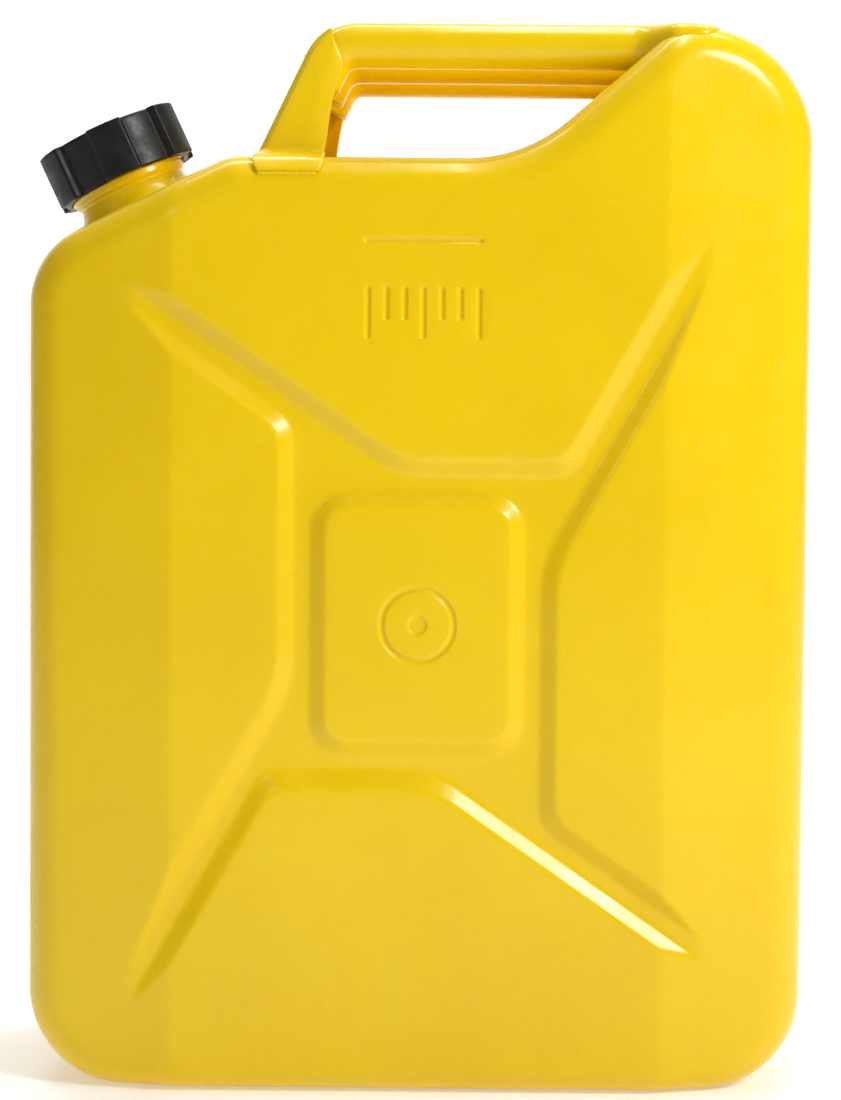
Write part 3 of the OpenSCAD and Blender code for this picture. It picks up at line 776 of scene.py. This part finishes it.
def handle_bar(name, node, y):
    """A bent tube: foot tucked in behind the web, end beaten flat over the hump."""
    middle_r = BEND_R - BAR_R
    segments = 64
    tongue_x, crest_x, tip_x, end_x = 92.0, 108, 118, 131.0
    tongue_ease, crest_ease = 20, 22  # lengths over which the end flattens and falls
    leg_reach = 9  # how far the foot runs down behind the web
    tuck_depth = 2.4  # how far the foot is pressed in under the web
    crest_drop = 2.2  # how far the flat end falls towards its tip
    sunk, least_lift = 0.6, 0.4  # the flat end's lower and upper side at the hump
    tip_taper, fullness = 0.92, 0.6  # how the end narrows, and how full its section is
    outer_flare = 4.0 if round(y) == 0 else 14.0
    inner_flare = 2.0
    foot = np.array(
        [BEND_X - middle_r * math.sin(LEG_SLOPE), BEND_Z + middle_r * math.cos(LEG_SLOPE)]
    )
    down = np.array([-math.cos(LEG_SLOPE), -math.sin(LEG_SLOPE)])
    path = []
    for t in np.linspace(leg_reach, 0, 8, endpoint=False):
        path.append((*(foot + down * t), LEG_SLOPE))
    for a in np.linspace(LEG_SLOPE, 0, 18, endpoint=False):
        path.append(
            (BEND_X - middle_r * math.sin(a), BEND_Z + middle_r * math.cos(a), a)
        )
    for x in np.concatenate(
        [np.linspace(BEND_X, tongue_x, 26), np.linspace(tongue_x + 1, end_x, 44)]
    ):
        path.append((x, TOTAL_H - BAR_R, 0.0))
    points = []
    for row, (x, z, tilt) in enumerate(path):
        flat = float(smooth_step((x - tongue_x) / tongue_ease)) if tilt == 0 else 0.0
        tip = max(0.0, (x - tip_x) / (end_x - tip_x)) if tilt == 0 else 0.0
        tuck = tuck_depth * float(smooth_step((8 - row) / 4))
        crest = TOTAL_H - crest_drop * float(smooth_step((x - crest_x) / crest_ease))
        for k in range(segments):
            t = 2 * math.pi * k / segments
            outside = y * math.cos(t) > 0 or y == 0
            reach = BAR_R + (outer_flare if outside else inner_flare) * flat
            reach *= math.sqrt(max(0.0, 1 - tip_taper * tip**3))
            across = reach * math.cos(t)
            up = BAR_R * math.sin(t)
            if up > 0:
                up *= 1 - tuck / BAR_R
            px, pz = x - up * math.sin(tilt), z + up * math.cos(tilt)
            if flat > 0:
                bed = hump_surface(x, y + across)
                lift = max(least_lift, crest - bed) * abs(math.sin(t)) ** fullness
                draped = bed + lift if math.sin(t) > 0 else bed - sunk
                pz = pz + (draped - pz) * flat
                pz = min(max(pz, bed - sunk), TOTAL_H)
            points.append((px, y + across, pz))
    rows = len(path)
    faces = grid_faces(rows, segments, wrap_columns=True)
    faces.append(tuple(range(segments)))
    faces.append(tuple(reversed(range((rows - 1) * segments, rows * segments))))
    piece = add_mesh(name, points, faces, enamel, nodes=[node])
    fix_outside(piece)
    return piece


for label in ("front", "middle", "rear"):
    low, high = mm_box(f"handle_bar_{label}")
    handle_bar(f"bar_{label}", f"handle_bar_{label}", (low[1] + high[1]) / 2)


def leg_levels():
    """Outer and inner edge of the flange from its foot up, and the web's top row."""
    foot = np.array([FOOT_X, RECESS_Z])
    bend_start = np.array(
        [BEND_X - BEND_R * math.sin(LEG_SLOPE), BEND_Z + BEND_R * math.cos(LEG_SLOPE)]
    )
    inner_edge = (  # x of the flange's free edge and its height above the shoulder
        (-43.0, 0.0),
        (-41.4, 8.0),
        (-40.0, 20.0),
        (-37.8, 31.0),
        (-35.2, 37.0),
        (-34.6, 42.0),
        (-36.0, 47.0),
        (-38.6, 52.0),
    )
    edge = np.array(inner_edge) + [0, RECESS_Z]
    straight = 30
    outer = [foot + (bend_start - foot) * t for t in np.linspace(0, 1, straight)]
    crease = math.radians(119)
    first, last = math.pi / 2 + LEG_SLOPE, crease
    for a in np.linspace(first, last, 14)[1:]:
        outer.append(
            np.array([BEND_X + BEND_R * math.cos(a), BEND_Z + BEND_R * math.sin(a)])
        )
    share = np.linspace(0, len(edge) - 1, len(outer))
    inner = np.column_stack(
        [np.interp(share, range(len(edge)), edge[:, k]) for k in (0, 1)]
    )
    for _ in range(6):
        inner[1:-1] = (inner[:-2] + 2 * inner[1:-1] + inner[2:]) / 4
    return np.array(outer), inner, straight - 2


def bracket():
    """Sloping web with two rounded side flanges, all of one folded sheet."""
    outer, inner, web_top = leg_levels()
    quarter = np.linspace(0, math.pi / 2, 8)
    curl_length, curl_in = 9.0, 1.5  # the flange's free edge curls in
    rows = []
    for o, i in zip(outer, inner):
        width = np.hypot(*(i - o))
        u = (i - o) / width
        corner = min(FOLD_R, width * 0.4)
        curl = min(curl_length, width * 0.4)
        profile = [
            (corner * (1 - math.cos(a)), FLANGE_Y - FOLD_R * (1 - math.sin(a)))
            for a in quarter
        ]
        for s in np.linspace(corner, width, 14)[1:]:
            back = curl_in * max(0.0, (s - width + curl) / curl) ** 2
            profile.append((s, FLANGE_Y - back))
        rows.append([(o[0] + u[0] * s, y, o[1] + u[1] * s) for s, y in profile])
    columns, count = len(rows[0]), len(rows)
    points, faces = [], []
    for side in (-1, 1):
        start = len(points)
        points += [(x, side * y, z) for row in rows for x, y, z in row]
        part = grid_faces(count, columns, start=start)
        faces += [f[::-1] for f in part] if side > 0 else part
    start = len(points)
    across = np.linspace(-(FLANGE_Y - FOLD_R), FLANGE_Y - FOLD_R, 30)
    for k in range(web_top + 1):
        points += [(outer[k][0], y, outer[k][1]) for y in across]
    faces += [f[::-1] for f in grid_faces(web_top + 1, len(across), start=start)]
    piece = add_mesh(
        "handle_bracket_sheet", points, faces, enamel, nodes=["handle_bracket"]
    )
    fold_sheet(piece, BRACKET_T)
    return piece


def fold_sheet(piece, thickness):
    """Joins touching edges, gives the sheet its thickness and rounds its free edges."""
    work = bmesh.new()
    work.from_mesh(piece.data)
    bmesh.ops.remove_doubles(work, verts=work.verts, dist=0.02 * MM)
    face_outwards(work, sum((v.co for v in work.verts), Vector()) / len(work.verts))
    work.to_mesh(piece.data)
    work.free()
    piece.data.shade_smooth()
    solid = piece.modifiers.new("thickness", "SOLIDIFY")
    solid.thickness = thickness * MM
    solid.offset = -1
    edge = piece.modifiers.new("rounding", "BEVEL")
    edge.width = 0.6 * MM
    edge.segments = 3
    edge.limit_method = "ANGLE"
    edge.angle_limit = math.radians(50)


bracket()


def foot_lip(name, side):
    """The flange's foot, bent out over the rounded edge of the half shell."""
    edge_y = HALF_D - EDGE_R
    edge_z = RECESS_Z - EDGE_R
    outer_r = EDGE_R + BRACKET_T
    fillet, overlap = 3.2, 1.2
    cut_rows, corner_cut = 4, 2.0  # the lower corners are cut over these rows
    narrowing, narrow_from, narrow_over = 3.4, 2.2, 3.0  # the lip narrows to the leg
    path = [(FLANGE_Y - 0.5, RECESS_Z + BRACKET_T + fillet + overlap)]
    for a in np.linspace(0, math.pi / 2, 7):
        path.append(
            (
                FLANGE_Y - 0.05 + fillet * (1 - math.cos(a)),
                RECESS_Z + BRACKET_T + fillet * (1 - math.sin(a)),
            )
        )
    for a in np.radians(np.linspace(87, 30, 14)):
        path.append((edge_y + outer_r * math.cos(a), edge_z + outer_r * math.sin(a)))
    path = np.array(path)
    across = np.linspace(0, 1, 24)
    points = []
    for k, (y, z) in enumerate(path):
        late = max(0.0, (k - len(path) + cut_rows + 1) / cut_rows)
        rise = max(0.0, z - RECESS_Z)
        tight = narrowing * float(smooth_step((rise - narrow_from) / narrow_over))
        cut = corner_cut * late**2
        left = FOOT_X + rise / math.tan(LEG_SLOPE) + 0.3 + cut + tight
        right = FOOT_X + FLANGE_FOOT_W + 0.8 - cut - tight * 0.2
        for t in across:
            points.append((left + (right - left) * t, side * y, z))
    faces = grid_faces(len(path), len(across))
    piece = add_mesh(name, points, faces, enamel)
    fold_sheet(piece, BRACKET_T * 0.9)
    return piece


foot_lip("foot_lip_front", -1)
foot_lip("foot_lip_rear", 1)


def bead(name, path, radius, nodes, closed=False, pitch=2.4, seed=0.0):
    """A weld bead: a tube along a path, swollen by each drop of its weld pool."""
    path = np.array(path, float)
    segments = 12
    ripple, unevenness, blunt = 0.10, 0.08, 0.25
    if closed:
        ahead, behind = np.roll(path, -1, 0), np.roll(path, 1, 0)
    else:
        ahead = np.vstack([path[1:], path[-1:] * 2 - path[-2:-1]])
        behind = np.vstack([path[:1] * 2 - path[1:2], path[:-1]])
    tangent = ahead - behind
    tangent /= np.linalg.norm(tangent, axis=1).reshape(-1, 1)
    step = np.linalg.norm(np.diff(path, axis=0), axis=1)
    at = np.concatenate([[0], np.cumsum(step)])
    up = np.array([0.3, 0.2, 0.93])
    points = []
    for k, (p, t) in enumerate(zip(path, tangent)):
        s = np.cross(t, up)
        s /= np.linalg.norm(s)
        b = np.cross(s, t)
        drift = noise.noise(Vector((at[k] / 3, seed, 0.5)))
        swell = 1 + ripple * math.sin(at[k] * 2 * math.pi / pitch) + unevenness * drift
        if not closed:
            from_end = min(1.0, min(at[k], at[-1] - at[k]) / radius)
            swell *= blunt + (1 - blunt) * from_end
        for j in range(segments):
            a = 2 * math.pi * j / segments
            points.append(p + radius * swell * (s * math.cos(a) + b * math.sin(a)))
    faces = grid_faces(len(path), segments, wrap_columns=True, wrap_rows=closed)
    if not closed:
        faces.append(tuple(reversed(range(segments))))
        faces.append(tuple(range((len(path) - 1) * segments, len(path) * segments)))
    return add_mesh(name, points, faces, enamel, nodes=nodes)


def bar_weld_paths():
    """Where the top edge of the bracket's web is welded to the outside of each bar."""
    outer, _, web_top = leg_levels()
    inset, half_length = 0.9, 8.5
    top = outer[web_top] + np.array([inset, 0.0])
    for y in (-BAR_PITCH, 0, BAR_PITCH):
        yield [
            (top[0], y + across, top[1])
            for across in np.linspace(-half_length, half_length, 36)
        ]


for k, path in enumerate(bar_weld_paths()):
    nodes = ["bracket_bar_welds"] if k == 0 else []
    bead(f"bracket_weld_{k}", path, 1.3, nodes, seed=k)


def hump_weld_paths():
    """Where the underside of each bar meets the slope of the hump."""
    x = np.linspace(60, 121, 80)
    heights = hump_height(x)
    for y in (-BAR_PITCH, 0, BAR_PITCH):
        path = []
        for t in np.radians(np.linspace(196, 344, 40)):
            across = math.cos(t) * (BAR_R - 0.3)
            z = TOTAL_H - BAR_R + math.sin(t) * (BAR_R - 0.3)
            path.append((np.interp(z, heights, x) - 0.2, y + across, z))
        yield path


for k, path in enumerate(hump_weld_paths()):
    nodes = ["bar_hump_welds"] if k == 0 else []
    bead(f"hump_weld_{k}", path, 1.0, nodes, seed=4 + k)

for label, side in (("front", -1), ("rear", 1)):
    angle, bead_r = math.radians(28), EDGE_R + 0.2
    y = side * (HALF_D - EDGE_R + bead_r * math.cos(angle))
    z = RECESS_Z - EDGE_R + bead_r * math.sin(angle)
    xs = np.linspace(FOOT_X + 2, FOOT_X + FLANGE_FOOT_W - 2, 40)
    bead(
        f"foot_weld_{label}",
        [(x, y, z) for x in xs],
        0.9,
        [f"bracket_foot_weld_{label}"],
        seed=9 + side,
    )

# ---- Neck --------------------------------------------------------------------

NECK_TURN = np.array(
    Matrix(
        (
            (NECK_AXIS[2], 0, NECK_AXIS[0]),
            (0, 1, 0),
            (-NECK_AXIS[0], 0, NECK_AXIS[2]),
        )
    )
)


def at_neck(points):
    """From the neck's own upright axes to the CAD frame."""
    return np.asarray(points, float) @ NECK_TURN.T + NECK_FOOT


def rounded_profile(corners, step=0.35):
    """A closed (radius, height) profile with its corners rounded: (r, z, rounding)."""
    out = []
    n = len(corners)
    for i, (r, z, rounding) in enumerate(corners):
        p = np.array([r, z], float)
        a = np.array(corners[i - 1][:2], float) - p
        b = np.array(corners[(i + 1) % n][:2], float) - p
        la, lb = np.hypot(*a), np.hypot(*b)
        if rounding == 0:
            out.append(p)
            continue
        cut = min(rounding, la * 0.49, lb * 0.49)
        first, last = p + a / la * cut, p + b / lb * cut
        steps = max(3, math.ceil(cut / step))
        for k in range(steps + 1):
            t = k / steps
            out.append((1 - t) ** 2 * first + 2 * t * (1 - t) * p + t * t * last)
    return np.array(out)


def lathe(name, profile, segments, material, body, nodes, shape=None):
    """Turns a closed profile round the neck's axis; shape may move each point."""
    points = []
    for k in range(segments):
        a = 2 * math.pi * k / segments
        for r, z in profile:
            rr, zz = shape(a, r, z) if shape else (r, z)
            points.append((rr * math.cos(a), rr * math.sin(a), zz))
    faces = grid_faces(segments, len(profile), wrap_columns=True, wrap_rows=True)
    piece = add_mesh(name, at_neck(points), faces, material, body, nodes)
    fix_outside(piece)
    return piece


def dense(profile, step):
    """Adds points so that no side of the profile is longer than step."""
    out = []
    for i, p in enumerate(profile):
        q = profile[(i + 1) % len(profile)]
        n = max(1, math.ceil(np.hypot(*(q - p)) / step))
        out += [p + (q - p) * k / n for k in range(n)]
    return np.array(out)


def ridge(a, z, start, turns):
    """Height, from 0 to 1, of a helical ridge at angle a and height z."""
    t = (z - start) / PITCH - a / (2 * math.pi)
    near = round(t)
    along = near + a / (2 * math.pi)
    if along < -0.05 or along > turns:
        return 0.0
    fade = min(1.0, max(0.0, min(along, turns - along) * 4))
    gap = abs(t - near) * PITCH
    return fade * float(smooth_step((0.95 - gap) / 0.7))


neck_profile = dense(
    rounded_profile(
        [
            (NECK_BORE_R, -5, 0),
            (WAIST_R, -5, 0),
            (WAIST_R, RING_T, 0),
            (FLARE_R, RING_T, 0),
            (FLARE_R, RING_T + 1.2, 1.2),
            (WAIST_R + 1.2, 8.0, 4),
            (WAIST_R, 12.0, 2),
            (WAIST_R + 0.2, 12.6, 0.6),
            (THREAD_R, 13.8, 0.6),
            (THREAD_R, NECK_H, 1.0),
            (NECK_BORE_R, NECK_H, 0.8),
        ]
    ),
    0.45,
)


def neck_shape(a, r, z):
    """Raises the thread on the neck's outside."""
    if r > THREAD_R - 0.05 and z > 13.5:
        r += THREAD_DEPTH * ridge(a, z, 15.0, 5.4)
    return r, z


lathe(
    "neck_tube",
    neck_profile,
    144,
    enamel,
    "root",
    ["threaded_neck"],
    neck_shape,
)
lathe(
    "neck_base_ring",
    rounded_profile(
        [
            (WAIST_R + 0.1, -1.5, 0),
            (RING_R, -1.5, 0),
            (RING_R, RING_T, 0.9),
            (WAIST_R + 0.1, RING_T, 0),
        ]
    ),
    144,
    enamel,
    "root",
    ["neck_ring"],
)


def neck_bead():
    """The fillet weld round the foot of the neck."""
    path = [
        ((FLARE_R + 0.1) * math.cos(a), (FLARE_R + 0.1) * math.sin(a), RING_T + 0.1)
        for a in np.radians(np.arange(0, 360, 2))
    ]
    bead("neck_weld_bead", at_neck(path), 0.8, ["neck_weld"], closed=True, seed=20)


neck_bead()

# ---- Cap ---------------------------------------------------------------------

CAP_TOP = CAP_Z + CAP_H
LOBE_START = math.radians(19)


def lobe(a):
    """How far out the grip stands at angle a: 1 on a lobe, 0 in a finger recess."""
    period = 2 * math.pi / LOBES
    from_middle = abs((a - LOBE_START - period / 4 + period / 2) % period - period / 2)
    return float(smooth_step((period / 4 - from_middle) / math.radians(3.6) + 0.5))


def cap_shape(a, r, z):
    """Swells the grip's lobes, and raises the thread in the cap's bore."""
    if r > CAP_BORE_R + 0.4:
        full = min(1.0, (r - CAP_BORE_R - 0.4) / (GRIP_R - CAP_BORE_R - 1.8))
        r += (CAP_R - GRIP_R) * lobe(a) * full
    elif CAP_BORE_R - 0.05 < r < CAP_BORE_R + 0.05 and z > CAP_Z + 1:
        r -= THREAD_DEPTH * ridge(a, z, 19.5, 1.5)
    return r, z


cap_profile = dense(
    rounded_profile(
        [
            (CAP_BORE_R, CAP_Z, 0.5),
            (GRIP_R, CAP_Z, 0.9),
            (GRIP_R, CAP_TOP, 1.3),
            (DISC_R + 6.0, CAP_TOP, 0.5),
            (DISC_R + 5.0, CAP_TOP - 0.7, 0.5),
            (DISC_R + 0.25, CAP_TOP - 0.7, 0.2),
            (DISC_R + 0.25, CAP_TOP - DISC_SEAT, 0),
            (0.05, CAP_TOP - DISC_SEAT, 0),
            (0.05, CAP_TOP - CAP_TOP_T, 0),
            (CAP_BORE_R, CAP_TOP - CAP_TOP_T, 0.6),
        ]
    ),
    0.9,
)
lathe(
    "cap_body",
    cap_profile,
    432,
    black_plastic,
    "cap",
    ["cap_shell"],
    cap_shape,
)
disc_top = CAP_TOP + DISC_H
lathe(
    "cap_disc",
    dense(
        rounded_profile(
            [
                (0.05, CAP_TOP - DISC_SEAT, 0),
                (DISC_R, CAP_TOP - DISC_SEAT, 0),
                (DISC_R, disc_top, 0.9),
                (DISC_R - 2.2, disc_top, 0.4),
                (DISC_R - 2.8, disc_top - 0.7, 0.4),
                (0.05, disc_top - 0.5, 0),
            ]
        ),
        1.2,
    ),
    144,
    black_plastic,
    "cap",
    ["cap_centre_disc"],
)

# ---- CAD nodes that keep their shape -------------------------------------------

for node, material in (
    ("vent_pipe", make_bare_steel()),
    ("cap_liner", make_liner_plastic()),
    ("cap_gasket", make_rubber()),
):
    mesh = frame["nodes"][node].data
    mesh.materials.clear()
    mesh.materials.append(material)
clip = frame["nodes"]["vent_pipe_clip"].data
clip.materials.clear()
clip.materials.append(bpy.data.materials["bare_steel"])

# ---- Camera, floor and light -------------------------------------------------

CAMERA_PLACE = (0.0012, -1.191, 0.294)  # in metres
CAMERA_DIP, CAMERA_ROLL = 2.83, 0.5  # in degrees
CAMERA_LENS, SENSOR_WIDTH = 109.8, 36
FLOOR_DROP = 0.0004
WORLD_STRENGTH = 0.2
SOFTBOXES = (  # name, place, aim and size in metres, power in watts
    ("key_right", (1.15, -1.0, 1.15), (0.0, 0, 0.25), (0.5, 0.4), 18.5),
    ("fill_left", (-0.75, -1.2, 0.95), (0, 0, 0.25), (0.35, 0.35), 0.8),
    ("top", (0.1, 0.0, 1.5), (0.0, 0, 0.4), (0.9, 0.14), 5),
    ("backdrop_wash", (0.0, 0.9, 3.2), (0.0, 3.0, 0.6), (3.0, 0.6), 90),
)

camera_data = bpy.data.cameras.new("camera")
camera_data.sensor_fit = "HORIZONTAL"
camera_data.sensor_width = SENSOR_WIDTH
camera_data.lens = CAMERA_LENS
camera = bpy.data.objects.new("camera", camera_data)
camera.matrix_world = (
    Matrix.Translation(CAMERA_PLACE)
    @ Matrix.Rotation(math.radians(90 - CAMERA_DIP), 4, "X")
    @ Matrix.Rotation(math.radians(CAMERA_ROLL), 4, "Z")
)
bpy.context.scene.collection.objects.link(camera)
bpy.context.scene.camera = camera


def make_sweep(half_width=4.0, front=-4.0, turn_y=2.4, bend_r=0.9, height=4.5):
    """A pale floor that curves up into a plain backdrop behind the can."""
    profile = [(front, 0.0), (0.0, 0.0), (turn_y, 0.0)]
    for a in np.linspace(0, math.pi / 2, 17)[1:]:
        profile.append((turn_y + bend_r * math.sin(a), bend_r * (1 - math.cos(a))))
    profile.append((turn_y + bend_r, height))
    points = [
        (x, y, z - FLOOR_DROP) for y, z in profile for x in (-half_width, half_width)
    ]
    mesh = bpy.data.meshes.new("floor")
    mesh.from_pydata(points, [], grid_faces(len(profile), 2))
    mesh.shade_smooth()
    mesh.materials.append(make_floor())
    sweep = bpy.data.objects.new("floor", mesh)
    bpy.context.scene.collection.objects.link(sweep)


make_sweep()

world = bpy.data.worlds.new("studio")
world.use_nodes = True
sky = world.node_tree.nodes["Background"]
sky.inputs["Color"].default_value = (1, 1, 1, 1)
sky.inputs["Strength"].default_value = WORLD_STRENGTH
bpy.context.scene.world = world
bpy.context.scene.view_settings.view_transform = "Standard"


def softbox(name, place, aim, size, power):
    """A rectangular area light that points at aim."""
    data = bpy.data.lights.new(name, "AREA")
    data.shape = "RECTANGLE"
    data.size, data.size_y = size
    data.energy = power
    light = bpy.data.objects.new(name, data)
    away = Vector(place) - Vector(aim)
    turn_to = away.to_track_quat("Z", "Y").to_matrix().to_4x4()
    light.matrix_world = Matrix.Translation(place) @ turn_to
    bpy.context.scene.collection.objects.link(light)


for lamp in SOFTBOXES:
    softbox(*lamp)
